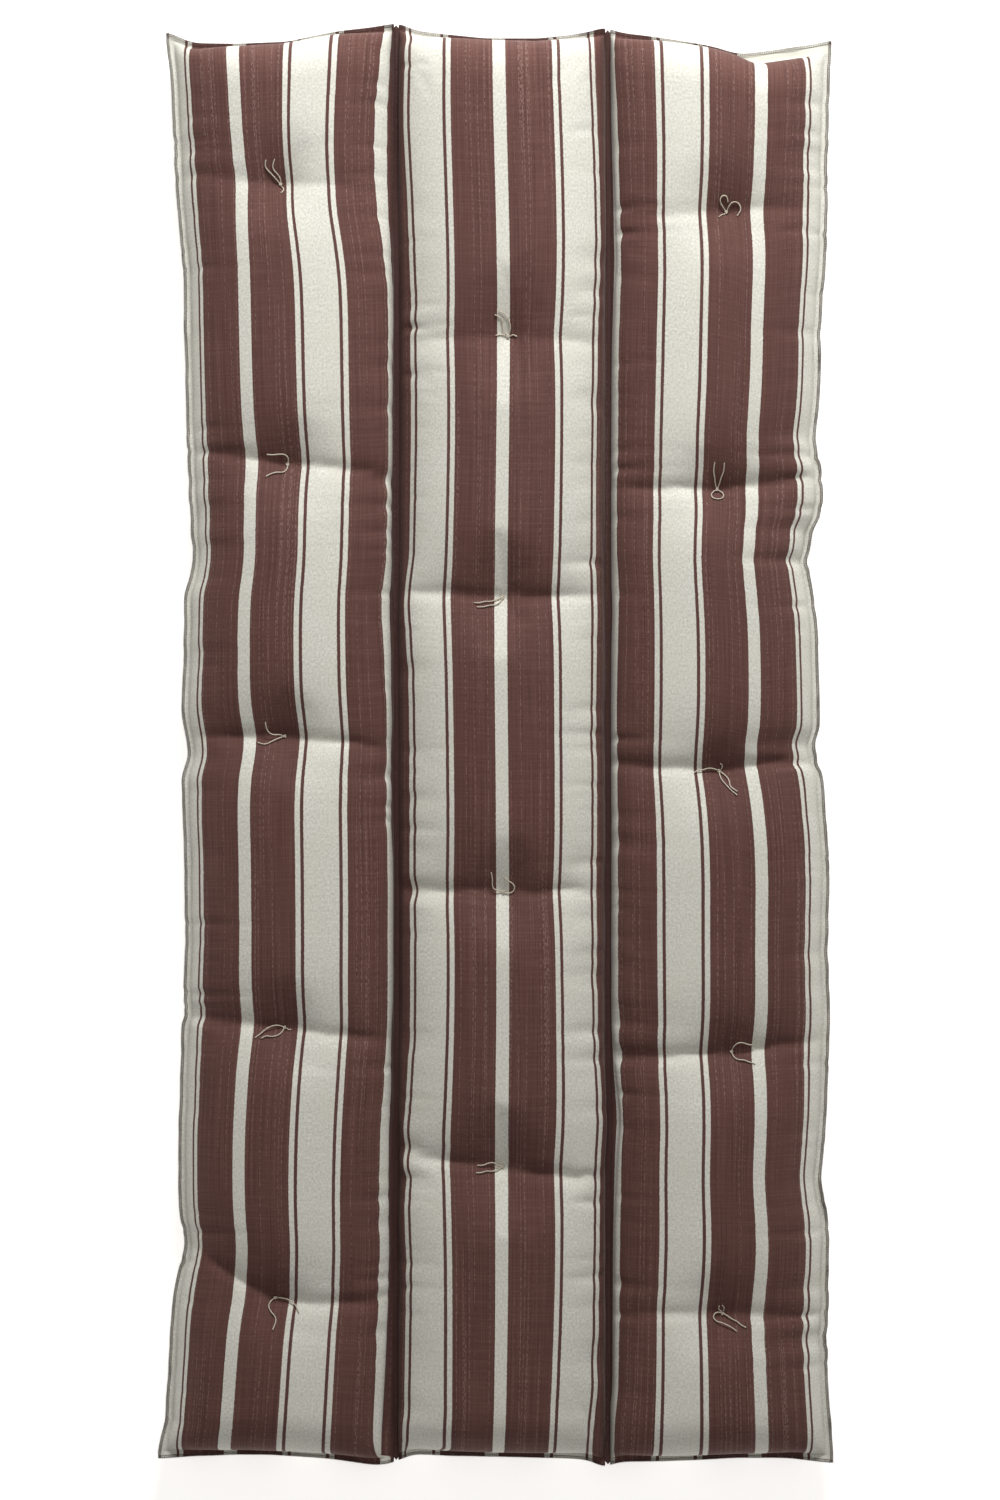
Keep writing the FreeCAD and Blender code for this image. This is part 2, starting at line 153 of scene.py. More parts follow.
# Each free tail of twine: its length, then its route from the knot, in millimetres
tails = {
    "left_1_tail_a": (36.2, [(-5, 5.6), (-10.9, 12.1), (-16.1, 16.9), (-20.4, 22.6), (-18.5, 30)]),
    "left_1_tail_b": (33.3, [(0.2, 7), (-3.6, 12.8), (-8.8, 17.4), (-10.4, 23.6), (-7.2, 31)]),
    "left_2_tail_a": (35.8, [(1.6, 7.4), (-3, 12.6), (-11, 12.8), (-19, 11.6), (-27, 12.4)]),
    "left_2_tail_b": (34.3, [(-0.6, -6.8), (-5.6, -11), (-13.4, -10.6), (-20.8, -12.4),
        (-27.6, -16.4)]),
    "left_3_tail_a": (35.4, [(-6.3, -2), (-14.3, -5.2), (-21.2, -9.5), (-28.2, -10.7),
        (-34.7, -7.9)]),
    "left_3_tail_b": (33.8, [(-6.3, 2.4), (-13.9, 1.6), (-19.8, 4), (-23.4, 9.6), (-24.6, 18)]),
    "left_4_tail_a": (41.2, [(-7.3, 3.2), (-16.3, 2.4), (-24.7, -1.8), (-31.2, -8.3),
        (-37.8, -12.4)]),
    "left_4_tail_b": (33.8, [(-3.4, -6.4), (-9.6, -10.6), (-17.4, -11.6), (-24.6, -9.8),
        (-29.8, -13.6)]),
    "left_5_tail_a": (37.5, [(7.9, 0), (15.9, -1.2), (23.2, -4.9), (28.4, -10.9), (30.9, -17.5)]),
    "left_5_tail_b": (46.1, [(-6.5, -3.6), (-8.9, -10.8), (-4.6, -17.6), (1.2, -23), (1.4, -31),
        (-2.6, -39)]),
    "middle_1_tail_a": (38.0, [(3, 7.5), (2.6, 16), (-0.6, 23.4), (-5.4, 29.4), (-12.3, 32)]),
    "middle_1_tail_b": (33.8, [(-5, 4.6), (-7.7, 11.8), (-6.6, 19.1), (-10.2, 24.8), (-17.3, 27)]),
    "middle_2_tail_a": (37.2, [(-7.1, -2.2), (-15.1, -6), (-23.6, -5.4), (-31.6, -8.4),
        (-37.5, -7.2)]),
    "middle_2_tail_b": (37.2, [(-3, -6.2), (-9.4, -10.4), (-17.4, -10.6), (-25.4, -13.2),
        (-33.4, -13)]),
    "middle_3_tail_a": (34.0, [(-6.9, 2.2), (-12.9, 4), (-14.9, 10.3), (-14.2, 17.4), (-16, 26)]),
    "middle_3_tail_b": (35.5, [(6.4, -1.8), (12.6, 0.6), (15, 6.4), (12, 12), (6, 14.6),
        (1.6, 19.4)]),
    "middle_4_tail_a": (33.1, [(-6, 2.4), (-12.4, 6.2), (-19.4, 5.6), (-25.4, 2.2), (-33.4, 2.8)]),
    "middle_4_tail_b": (34.5, [(-6, -3), (-13.6, -5.6), (-21.6, -4.4), (-28.8, -7), (-34.6, -6.4)]),
    "right_1_tail_a": (38.1, [(2.8, 7.1), (7.6, 12.6), (14.2, 12.3), (18.3, 6.8), (18.1, 0),
        (13.9, -5)]),
    "right_1_tail_b": (34.8, [(-4, 5.4), (-8, 10.6), (-8.6, 17), (-4.2, 21.2), (1, 18.6),
        (1.8, 12.4)]),
    "right_2_tail_a": (34.5, [(-2.6, 7), (-3.6, 15.6), (-5.6, 24.6), (-3.8, 34.4)]),
    "right_2_tail_b": (34.4, [(3.2, 7.6), (5, 16), (8.8, 24.2), (8.4, 33.6)]),
    "right_2_tail_loop": (39.3, [(5.6, -3), (8.8, -7), (6.6, -11.6), (0, -12.8), (-6.4, -11),
        (-8, -6.4), (-5, -2.6)]),
    "right_3_tail_a": (32.2, [(-7.5, 3), (-15, 3.6), (-21.8, 1), (-28, 1.2), (-33, -2.2)]),
    "right_3_tail_b": (39.5, [(0.4, -6), (3.2, -12.4), (8.7, -18.6), (14.8, -25.6), (22.2, -31.4)]),
    "right_3_tail_c": (35.7, [(5.2, -3.8), (10, -8.2), (12.8, -13.6), (13, -19.4), (17.6, -23.4),
        (22.6, -26.6)]),
    "right_4_tail_a": (33.5, [(2, 6.9), (7, 12.1), (14.6, 12.8), (21.4, 9.8), (28, 9.2)]),
    "right_4_tail_b": (33.9, [(2.4, -6.6), (8.6, -10), (16, -9.6), (22.6, -12.8), (30, -14.2)]),
    "right_5_tail_a": (32.8, [(6.2, -2.8), (12.2, -7), (18.4, -9.2), (23.2, -13.8), (30, -16.8)]),
    "right_5_tail_b": (48.4, [(-5.6, 2.2), (-11, 0.2), (-12.4, -5.2), (-8, -9.6), (-1, -11),
        (5.6, -14), (12, -17), (17.4, -21.4)]),
}


def outline(points, softness=0.008):
    """A smooth line through drawn points, as a function of its first coordinate."""
    at, value = np.array(points).T
    fine = np.arange(at[0] - 0.05, at[-1] + 0.05, 0.002)
    count = int(3 * softness / 0.002)
    weights = np.exp(-0.5 * (np.arange(-count, count + 1) * 0.002 / softness) ** 2)
    straight = np.interp(fine, at, value)
    padded = np.concatenate([np.full(count, straight[0]), straight, np.full(count, straight[-1])])
    smooth = np.convolve(padded, weights / weights.sum(), "valid")
    return lambda where: np.interp(where, fine, smooth)


side_edges = {"left": outline(left_side), "right": outline(right_side)}
valley_lines = {"left": outline(left_valley), "right": outline(right_valley)}
side_sweeps = {"left": outline(left_side, 0.03), "right": outline(right_side, 0.03)}
valley_sweeps = {"left": outline(left_valley, 0.12), "right": outline(right_valley, 0.12)}
head_edge = outline(head_end)
foot_edge = outline(foot_end)


def smoothstep(share):
    share = np.clip(share, 0, 1)
    return share * share * (3 - 2 * share)


def selvedge(x):
    """1 where the cloth's own pale edge shows at the right tube's head end, else 0."""
    return smoothstep((x - 0.300) / 0.045)


def head_seam(x):
    return head_edge(x) - allowance * (1 + 0.75 * selvedge(x))


def foot_seam(x):
    return foot_edge(x) + allowance


def wander(values, scale, seed):
    """Soft random values between about -1 and 1 along a line, the same on every run."""
    flat = np.ravel(values)
    drawn = np.array([noise.noise(Vector((v / scale, seed * 7.31, 0.5))) for v in flat])
    return drawn.reshape(np.shape(values))


def pinches(y, seed):
    """Narrow tucks at uneven places along a gathered seam, from 0 to 1."""
    sharp = np.clip(1 - np.abs(wander(y, 0.034, seed)) / 0.20, 0, 1) ** 1.5
    return sharp * np.clip(0.55 + 1.1 * wander(y, 0.07, seed + 60), 0.1, 1)


def superellipse(across, squareness, lift):
    return np.maximum(0.0, 1 - np.abs(across) ** squareness) ** (1 / lift)


def arc_shares(places, heights, count):
    """Places along a profile that are evenly spaced over its length."""
    run = np.hypot(np.diff(places), np.diff(heights))
    along = np.concatenate([[0], np.cumsum(run)])
    return np.interp(np.linspace(0, along[-1], count), along, places)


class Tube:
    """One stuffed tube: where its seams lie and how its top and underside are shaped."""

    def __init__(self, name):
        self.name = name
        self.ties = {key: tie for key, tie in ties.items() if key.startswith(name)}
        self.seed = {"left": 1, "middle": 2, "right": 3}[name]

    def sweep_x(self, side, y):
        """The long, even line that a side follows, without its pinches."""
        if self.name == "middle":
            return valley_sweeps["right" if side > 0 else "left"](y)
        if (self.name == "right") == (side > 0):
            return side_sweeps[self.name](y) - side * allowance
        return valley_sweeps[self.name](y)

    def rise(self, t, upper):
        """Height across the tube, t from -1 to 1: full at a valley, tapering to an outer seam."""
        full = superellipse(t, 4.5, 2.6)
        if upper:
            full = 0.36 * superellipse(t, 12, 2.0) + 0.64 * superellipse(t, 2.15, 1.0)
        taper = superellipse(t, 2.2, 1.35) if upper else superellipse(t, 3.4, 1.7)
        outer = {"left": t < 0, "middle": t > 2, "right": t > 0}[self.name]
        return np.where(outer, taper, full)

    def bow(self, across, y):
        """How far the cloth drifts sideways between the ties, in x."""
        near = sum(np.exp(-np.sqrt((y - tie[1]) ** 2 + 0.0001) / tie_spacing_reach)
                   for tie in self.ties.values())
        free = 1 - np.clip(near, 0, 1)
        if self.name == "middle":
            foot = foot_shift * np.clip((-0.5 - y) / 0.36, 0, 1) * np.clip((0.75 - across) / 0.4, 0, 1)
            return middle_bow * free * np.abs(np.sin(2 * math.pi * across)) + foot
        outward = across if self.name == "right" else 1 - across
        side = 1 if self.name == "right" else -1
        shift = side * outer_bow * free * np.sin(math.pi * np.clip(outward, 0, 1) ** 1.3)
        if self.name == "left":
            above = y - self.ties["left_1"][1]
            waist = np.exp(-(above / np.where(above > 0, 0.16, 0.085)) ** 2)
            shift = shift - waist_shift * waist * np.clip((across - 0.3) / 0.3, 0, 1)
        return shift

    def tucks(self, side, y):
        """The tucks along one side, deepest beside the ties' creases."""
        at_ties = sum(np.exp(-((y - tie[1] - tie[3][1 if side < 0 else 2]) / 0.045) ** 2)
                      for tie in self.ties.values())
        ruffled = np.exp(-((y - 0.245) / 0.07) ** 2) if self.name == "right" and side > 0 else 0
        return pinches(y, self.seed * 5 + side) * (0.6 + 0.8 * at_ties + ruffled)

    def seam_x(self, side, y):
        """The stitched line at one side (-1 left, 1 right)."""
        inner = valley_x - valley_lip
        outer = valley_x + valley_lip
        if self.name == "middle":
            return np.full_like(y, side * inner) + 0.0005 * wander(y, 0.05, self.seed + side)
        if (self.name == "right") == (side > 0):
            edge = side_edges[self.name](y) - side * allowance
            return edge + 0.001 * wander(y, 0.03, self.seed + side) - side * 0.003 * self.tucks(side, y)
        return np.full_like(y, -side * outer) + 0.0005 * wander(y, 0.05, self.seed + side)

    def belly_x(self, side, y):
        """Where the tube's side stands at its widest: at a valley it nearly meets its neighbour."""
        if (self.name == "right") == (side > 0) and self.name != "middle":
            return side_edges[self.name](y) - side * (0.004 + 0.006 * self.tucks(side, y))
        name = ("right" if side > 0 else "left") if self.name == "middle" else self.name
        return valley_lines[name](y) - side * (0.0014 + 0.008 * self.tucks(side, y))

    def plan(self, across, along, x_of, over_ends=0.0):
        """Plan places of a grid: across and along run from 0 to 1 between the seams."""
        x = np.zeros_like(across)
        y = (along - 0.5) * plan_length
        for _ in range(4):
            left, right = self.sweep_x(-1, y), self.sweep_x(1, y)
            x = left + (right - left) * across
            for side, base, inward in ((-1, left, x - left), (1, right, right - x)):
                reach = 0.045 if (self.name == "right") == (side > 0) else 0.028
                reach = 0.028 if self.name == "middle" else reach
                x += (x_of(side, y) - base) * np.exp(-inward / reach)
            x += over_ends * self.bow(across, y)
            head = head_seam(x) + over_ends * 0.009 * (1 - selvedge(x))
            foot = foot_seam(x) - over_ends * 0.005
            y = foot + (head - foot) * along
        return x, y


def tube_profile(tube, upper, height, chord, count):
    t = np.sin(np.linspace(-math.pi / 2, math.pi / 2, 801))
    places = arc_shares(t * chord / 2, tube.rise(t, upper) * height, count)
    return places / chord + 0.5


def length_profile(shoulder, squareness, lift, height, length, count):
    e = np.linspace(0, 1, 401)
    rise = superellipse(1 - e, squareness, lift) * height
    run = e * shoulder
    places = np.concatenate([run, length - run[::-1]])
    heights = np.concatenate([rise, rise[::-1]])
    return arc_shares(places, heights, count) / length


def pulled_down(tube, upper, x, y, left, right):
    """How far the ties and their creases pull the cloth towards the seams' level."""
    drop = np.zeros_like(x)
    for tx, ty, depth, (crease, rise_left, rise_right) in tube.ties.values():
        dx, dy = x - tx, y - ty
        half = np.where(dx < 0, left - tx, right - tx)
        share = np.clip(dx / half, 0, 1)
        off = dy - np.where(dx < 0, rise_left, rise_right) * share
        off = off - 0.0025 * wander(dx, 0.04, tube.seed + 10 * ty) * np.clip(share * 4, 0, 1)
        r = np.hypot(dx, dy)
        pull = depth if upper else 0.006
        groove = crease if upper else 0.0015
        drop += 0.45 * pull * np.exp(-r / 0.016)
        drop += 0.55 * pull * np.exp(-(r / 0.050) ** 2)
        fade = 1 - 0.45 * share ** 1.5
        drop += 1.5 * groove * fade * np.exp(-np.abs(off) / 0.009)
        drop += 1.1 * groove * fade * np.exp(-(off / 0.060) ** 2)
    return drop


def gather(tube, drop, x, y, left, right):
    """Adds the gathers that run in from the tucks along the sides, and the filling's lumps."""
    for side, edge in ((-1, left), (1, right)):
        inward = np.abs(x - edge)
        drop += 0.0095 * tube.tucks(side, y) * np.exp(-inward / 0.036) * np.clip(inward / 0.006, 0, 1)
        ripple = wander(y + 0.2 * inward, 0.022, tube.seed * 3 + side)
        drop += 0.003 * np.clip(ripple, 0, 1) * np.exp(-((inward - 0.02) / 0.025) ** 2)
    lumps = 0.5 + wander(x + 3 * tube.seed, 0.11, 1) * wander(y, 0.13, tube.seed + 40)
    drop += 0.004 * np.clip(lumps, 0, 1)


def make_sheet(tube, upper):
    """The target shape of one cloth panel and its flat shape, as arrays of rows."""
    width = panel_widths[tube.name][0 if upper else 1]
    panel_length = panel_lengths[0 if upper else 1]
    height = crown_z - seam_z if upper else seam_z
    step = cloth_step if upper else base_step
    columns = int(round(width / step)) + 1
    rows = int(round(panel_length / step)) + 1
    shoulder = shoulders[0 if upper else 1]
    a = tube_profile(tube, upper, height, 2 * valley_x, columns)
    b = length_profile(shoulder, 2.4, 2.0, height, plan_length, rows)
    across, along = np.meshgrid(a, b)
    seam_x, seam_y = tube.plan(across, along, tube.seam_x)
    belly_x, belly_y = tube.plan(across, along, tube.belly_x, 1.0)
    left, right = tube.seam_x(-1, seam_y), tube.seam_x(1, seam_y)
    from_end = np.minimum(head_seam(seam_x) - seam_y, seam_y - foot_seam(seam_x))
    ends = superellipse(1 - np.clip(from_end / shoulder, 0, 1), 2.4, 2.0)
    level = tube.rise(2 * across - 1, upper) * ends
    # the belly swells out over the seam as the side rises
    swell = smoothstep(level / 0.5)
    x = seam_x + (belly_x - seam_x) * swell
    y = seam_y + (belly_y - seam_y) * swell
    drop = pulled_down(tube, upper, x, y, left, right)
    gather(tube, drop, x, y, left, right)
    lowered = height * level - drop * np.clip(level * 1.3, 0, 1)
    if not upper:
        lowered = np.clip(lowered, 0, seam_z)
    z = seam_z + (lowered if upper else -lowered)
    target = np.stack([x, y, z], axis=-1)
    flat_u, flat_v = np.meshgrid(
        np.linspace(-width / 2, width / 2, columns),
        np.linspace(-panel_length / 2, panel_length / 2, rows))
    return target, np.stack([flat_u, flat_v, np.zeros_like(flat_u)], axis=-1)


def grid_object(name, points, upper=True, close=False):
    """A grid mesh whose vertices take the places of a rows by columns array."""
    rows, columns = points.shape[:2]
    mesh = bpy.data.meshes.new(name)
    bm = bmesh.new()
    bmesh.ops.create_grid(bm, x_segments=columns - 1, y_segments=rows - 1, size=0.5)
    bm.verts.ensure_lookup_table()
    for vertex, place in zip(bm.verts, points.reshape(-1, 3)):
        vertex.co = place
    if close:
        bmesh.ops.remove_doubles(bm, verts=bm.verts, dist=2e-6)
        bmesh.ops.recalc_face_normals(bm, faces=bm.faces)
    elif not upper:
        bmesh.ops.reverse_faces(bm, faces=bm.faces)
    for face in bm.faces:
        face.smooth = True
    bm.to_mesh(mesh)
    bm.free()
    obj = bpy.data.objects.new(name, mesh)
    bpy.context.scene.collection.objects.link(obj)
    return obj


def cloth_on(obj, flat, hold, frames):
    """Gives obj the cloth settings; hold is 1 where it is sewn and low where it is free."""
    obj.shape_key_add(name="Basis")
    cut = obj.shape_key_add(name="cut cloth")
    cut.data.foreach_set("co", flat.reshape(-1, 3).astype(np.float32).ravel())
    cut.value = 0.0
    group = obj.vertex_groups.new(name="held")
    weights = hold.ravel()
    for value in np.unique(weights):
        group.add([int(i) for i in np.nonzero(weights == value)[0]], float(value), "REPLACE")
    cloth = obj.modifiers.new("Cloth", "CLOTH")
    settings = cloth.settings
    settings.quality = 5
    settings.mass = 0.2
    settings.tension_stiffness = 40
    settings.compression_stiffness = 40
    settings.shear_stiffness = 8
    settings.bending_stiffness = 0.08
    settings.tension_damping = 8
    settings.compression_damping = 8
    settings.shear_damping = 8
    settings.bending_damping = 0.5
    settings.air_damping = 3
    settings.vertex_group_mass = "held"
    settings.pin_stiffness = 1
    settings.rest_shape_key = cut
    settings.use_pressure = True
    settings.uniform_pressure_force = 4
    settings.effector_weights.gravity = 0
    cloth.collision_settings.use_collision = False
    cloth.collision_settings.use_self_collision = False
    cloth.point_cache.frame_start = 1
    cloth.point_cache.frame_end = frames


def settle(sheets, frames=22):
    """Lets all the cloth take up its flat size round the stuffing, and reads it back."""
    for target, flat, obj, tube, upper in sheets:
        hold = np.full(target.shape[:2], 0.08 if upper else 0.2)
        hold[0] = hold[-1] = hold[:, 0] = hold[:, -1] = 1
        for tx, ty, *_ in tube.ties.values():
            hold[np.hypot(target[..., 0] - tx, target[..., 1] - ty) < sewn_radius] = 1
        cloth_on(obj, flat, hold, frames)
    scene = bpy.context.scene
    for number in range(1, frames + 1):
        scene.frame_set(number)
    graph = bpy.context.evaluated_depsgraph_get()
    shapes = []
    for target, flat, obj, tube, upper in sheets:
        settled = obj.evaluated_get(graph).to_mesh()
        co = np.zeros(len(settled.vertices) * 3, np.float32)
        settled.vertices.foreach_get("co", co)
        shapes.append(co.reshape(target.shape).astype(float))
    scene.frame_set(1)
    return shapes


def keep_within(tube, points, upper):
    """Stops the settled cloth at its neighbours, at the crown and at the floor."""
    x, y, z = points[..., 0], points[..., 1], points[..., 2]
    if tube.name != "left":
        x = np.maximum(x, valley_lines["left" if tube.name == "middle" else "right"](y) + 0.001)
    if tube.name != "right":
        x = np.minimum(x, valley_lines["right" if tube.name == "middle" else "left"](y) - 0.001)
    z = np.minimum(z, crown_z) if upper else np.clip(z, 0.0002, seam_z)
    settled = np.stack([x, y, z], axis=-1)
    for line in (np.s_[0], np.s_[-1], np.s_[:, 0], np.s_[:, -1]):
        settled[line] = points[line]
    return settled


def with_allowance(tube, points, flat, upper):
    """Adds the seam allowance, which stands out beyond the stitches, to a panel and its UVs."""
    steps = 3
    left = steps if tube.name == "left" else 0
    right = steps if tube.name == "right" else 0
    pads = ((steps, steps), (left, right), (0, 0))
    points, flat = np.pad(points, pads, "edge"), np.pad(flat, pads, "edge")
    rows, columns = points.shape[:2]
    out_x = np.zeros(columns)
    out_y = np.zeros(rows)
    share = np.arange(1, steps + 1) / steps
    out_y[:steps], out_y[-steps:] = -share[::-1], share
    if left:
        out_x[:left] = -share[::-1]
    if right:
        out_x[-right:] = share
    out_x, out_y = np.meshgrid(out_x, out_y)
    points[..., 0] += out_x * allowance
    points[..., 1] += np.where(out_y > 0, out_y * (head_edge(points[..., 0]) - points[..., 1]),
                               -out_y * (foot_edge(points[..., 0]) - points[..., 1]))
    flat[..., 0] += out_x * allowance
    flat[..., 1] += out_y * allowance
    reach = np.maximum(np.abs(out_x), np.abs(out_y))
    flutter = wander(points[..., 0] + points[..., 1] * 1.3, 0.035, tube.seed)
    points[..., 2] += reach * (0.0006 if upper else -0.0006) + 0.004 * reach * flutter
    return points, flat


def cloth_piece(name, tube, points, flat, upper):
    obj = grid_object(name, points, upper)
    layer = obj.data.uv_layers.new(name="cloth")
    index = np.zeros(len(obj.data.loops), np.int64)
    obj.data.loops.foreach_get("vertex_index", index)
    shift = {"left": -tube_pitch, "middle": 0.0, "right": tube_pitch}[tube.name]
    uvs = flat.reshape(-1, 3)[index][:, :2] + np.array([shift, 0])
    layer.data.foreach_set("uv", uvs.astype(np.float32).ravel())
    smooth = obj.modifiers.new("Soft", "SUBSURF")
    smooth.levels = smooth.render_levels = 1 if upper else 2
    return obj


def sweep(path, radius, sides=6):
    """The ring points of a round strand along a path, as a rows by columns array."""
    path = np.asarray(path, float)
    ahead = np.gradient(path, axis=0)
    ahead /= np.linalg.norm(ahead, axis=1, keepdims=True)
    normal = np.cross(ahead[0], (0.3, 0.5, 0.8))
    rings = []
    for place, forward in zip(path, ahead):
        normal = normal - forward * normal.dot(forward)
        normal /= np.linalg.norm(normal)
        other = np.cross(forward, normal)
        turn = np.linspace(0, 2 * math.pi, sides + 1)[:, None]
        rings.append(place + radius * (np.cos(turn) * normal + np.sin(turn) * other))
    rings[0] = np.repeat(path[:1], sides + 1, axis=0)
    rings[-1] = np.repeat(path[-1:], sides + 1, axis=0)
    return np.array(rings)


def strands(name, paths, radius, sides=6):
    """One piece made of several round strands."""
    parts = [grid_object(name, sweep(path, radius, sides), close=True) for path in paths]
    joined = bmesh.new()
    for part in parts:
        joined.from_mesh(part.data)
    joined.to_mesh(parts[0].data)
    joined.free()
    for part in parts[1:]:
        mesh = part.data
        bpy.data.objects.remove(part)
        bpy.data.meshes.remove(mesh)
    return parts[0]


def curved(points, steps=6):
    """A smooth path through points."""
    points = np.asarray(points, float)
    ends = np.vstack([2 * points[0] - points[1], points, 2 * points[-1] - points[-2]])
    path = []
    for before, here, there, after in zip(ends, ends[1:], ends[2:], ends[3:]):
        for t in np.arange(steps) / steps:
            path.append(0.5 * (2 * here + (there - before) * t
                               + (2 * before - 5 * here + 4 * there - after) * t ** 2
                               + (3 * here - before - 3 * there + after) * t ** 3))
    path.append(points[-1])
    return np.array(path)


# ---------------------------------------------------------------- colours and finishes

def colour(red, green, blue):
    """A linear colour from the usual 0 to 255 values."""
    def linear(value):
        value /= 255
        return value / 12.92 if value <= 0.04045 else ((value + 0.055) / 1.055) ** 2.4
    return (linear(red), linear(green), linear(blue), 1.0)


class Tree:
    """Short calls for making nodes in a material or a node group."""

    def __init__(self, tree):
        self.tree = tree

    def link(self, source, socket):
        if isinstance(source, (int, float, tuple)):
            socket.default_value = source
        else:
            self.tree.links.new(source, socket)

    def math(self, operation, *values, clamp=False):
        node = self.tree.nodes.new("ShaderNodeMath")
        node.operation = operation
        node.use_clamp = clamp
        for value, socket in zip(values, node.inputs):
            self.link(value, socket)
        return node.outputs[0]

    def vector(self, x, y, z=0.0):
        node = self.tree.nodes.new("ShaderNodeCombineXYZ")
        for value, socket in zip((x, y, z), node.inputs):
            self.link(value, socket)
        return node.outputs[0]

    def noise(self, vector, scale=1.0, detail=2.0, roughness=0.5):
        node = self.tree.nodes.new("ShaderNodeTexNoise")
        self.link(vector, node.inputs["Vector"])
        node.inputs["Scale"].default_value = scale
        node.inputs["Detail"].default_value = detail
        node.inputs["Roughness"].default_value = roughness
        return node.outputs[0]

    def between(self, value, low, high, low_out=0.0, high_out=1.0):
        node = self.tree.nodes.new("ShaderNodeMapRange")
        for amount, socket in zip((value, low, high, low_out, high_out), node.inputs):
            self.link(amount, socket)
        return node.outputs[0]

    def mix(self, factor, first, second):
        node = self.tree.nodes.new("ShaderNodeMix")
        node.data_type = "RGBA"
        self.link(factor, node.inputs[0])
        self.link(first, node.inputs[6])
        self.link(second, node.inputs[7])
        return node.outputs[2]

    def bump(self, height, distance, strength=1.0):
        node = self.tree.nodes.new("ShaderNodeBump")
        node.inputs["Strength"].default_value = strength
        node.inputs["Distance"].default_value = distance
        self.link(height, node.inputs["Height"])
        return node.outputs[0]


def group(name, inputs, outputs):
    made = bpy.data.node_groups.new(name, "ShaderNodeTree")
    for label, kind in inputs:
        made.interface.new_socket(label, in_out="INPUT", socket_type=kind)
    for label, kind in outputs:
        made.interface.new_socket(label, in_out="OUTPUT", socket_type=kind)
    source = made.nodes.new("NodeGroupInput").outputs
    result = made.nodes.new("NodeGroupOutput").inputs
    return made, Tree(made), source, result


def woven_stripes():
    """The striped cloth's pattern from its own flat coordinates in metres."""
    made, t, source, result = group(
        "woven stripes",
        [("Cloth", "NodeSocketVector")],
        [("Colour", "NodeSocketColor"), ("Height", "NodeSocketFloat")])
    split = made.nodes.new("ShaderNodeSeparateXYZ")
    made.links.new(source["Cloth"], split.inputs[0])
    u, v = split.outputs[0], split.outputs[1]
    # the edges of the stripes wander a little with the threads
    wobble = t.noise(t.vector(t.math("MULTIPLY", u, 60.0), t.math("MULTIPLY", v, 900.0)))
    u_edge = t.math("ADD", u, t.between(wobble, 0.25, 0.75, -0.0005, 0.0005))
    place = t.math("PINGPONG", t.math("SUBTRACT", u_edge, stripe_start), stripe_repeat)
    ramp = made.nodes.new("ShaderNodeValToRGB")
    ramp.color_ramp.interpolation = "CONSTANT"
    # where each band begins, as a share of the repeat, and whether it is brown
    bands = [(0.0, 0.0), (0.219, 1.0), (0.262, 0.0), (0.330, 1.0), (0.912, 0.0)]
    elements = ramp.color_ramp.elements
    for index, (position, value) in enumerate(bands):
        element = elements[index] if index < 2 else elements.new(position)
        element.position = position
        element.color = (value, value, value, 1)
    made.links.new(t.math("MULTIPLY", place, 1 / stripe_repeat), ramp.inputs[0])
    brown = ramp.outputs[0]
    thin = t.math("LESS_THAN", place, 0.031)
    # lengthwise streaks, broken light dashes and a mottled weave
    warp = t.noise(t.vector(t.math("MULTIPLY", u, 480.0), t.math("MULTIPLY", v, 5.0)), detail=3.0,
                   roughness=0.7)
    weft = t.noise(t.vector(t.math("MULTIPLY", u, 14.0), t.math("MULTIPLY", v, 420.0)), detail=2.0)
    mottle = t.noise(t.vector(t.math("MULTIPLY", u, 360.0), t.math("MULTIPLY", v, 270.0)), detail=3.0,
                     roughness=0.85)
    patches = t.noise(t.vector(t.math("MULTIPLY", u, 30.0), t.math("MULTIPLY", v, 12.0)), detail=2.0)
    rows = t.noise(t.vector(t.math("MULTIPLY", u, 420.0), t.math("MULTIPLY", v, 1.6)), detail=0.0)
    dashes = t.noise(t.vector(t.math("MULTIPLY", u, 900.0), t.math("MULTIPLY", v, 210.0)), detail=0.0)
    dash = t.math("MULTIPLY", t.between(rows, 0.62, 0.67), t.between(dashes, 0.48, 0.58), clamp=True)
    cream = t.mix(t.between(mottle, 0.34, 0.66), colour(193, 192, 182), colour(236, 236, 229))
    cream = t.mix(t.between(weft, 0.30, 0.75, 0.0, 0.22), cream, colour(188, 184, 172))
    cream = t.mix(t.between(patches, 0.35, 0.70, 0.0, 0.25), cream, colour(212, 207, 194))
    dark = t.mix(t.between(warp, 0.32, 0.68), colour(84, 54, 49), colour(112, 77, 71))
    dark = t.mix(t.between(mottle, 0.25, 0.75, 0.0, 0.55), dark, colour(76, 48, 44))
    dark = t.mix(t.between(weft, 0.45, 0.80, 0.0, 0.30), dark, colour(126, 92, 86))
    dark = t.mix(t.math("MULTIPLY", dash, 0.22), dark, colour(190, 160, 152))
    dark = t.mix(t.math("MULTIPLY", thin, 0.6), dark, colour(88, 58, 56))
    result_colour = t.mix(brown, cream, dark)
    pale_edge = t.math("MULTIPLY", t.math("GREATER_THAN", u, 0.374), t.math("GREATER_THAN", v, 0.975))
    result_colour = t.mix(pale_edge, result_colour, colour(222, 222, 210))
    made.links.new(result_colour, result["Colour"])
    # the diagonal ribs of the twill
    ribs = t.math("SINE", t.math("MULTIPLY", t.math("ADD", t.math("MULTIPLY", u, 0.8), v), 4200.0))
    height = t.math("ADD", t.math("MULTIPLY", ribs, 0.2), mottle)
    made.links.new(height, result["Height"])
    return made


def material(name):
    made = bpy.data.materials.new(name)
    made.use_nodes = True
    return made, Tree(made.node_tree), made.node_tree.nodes["Principled BSDF"]


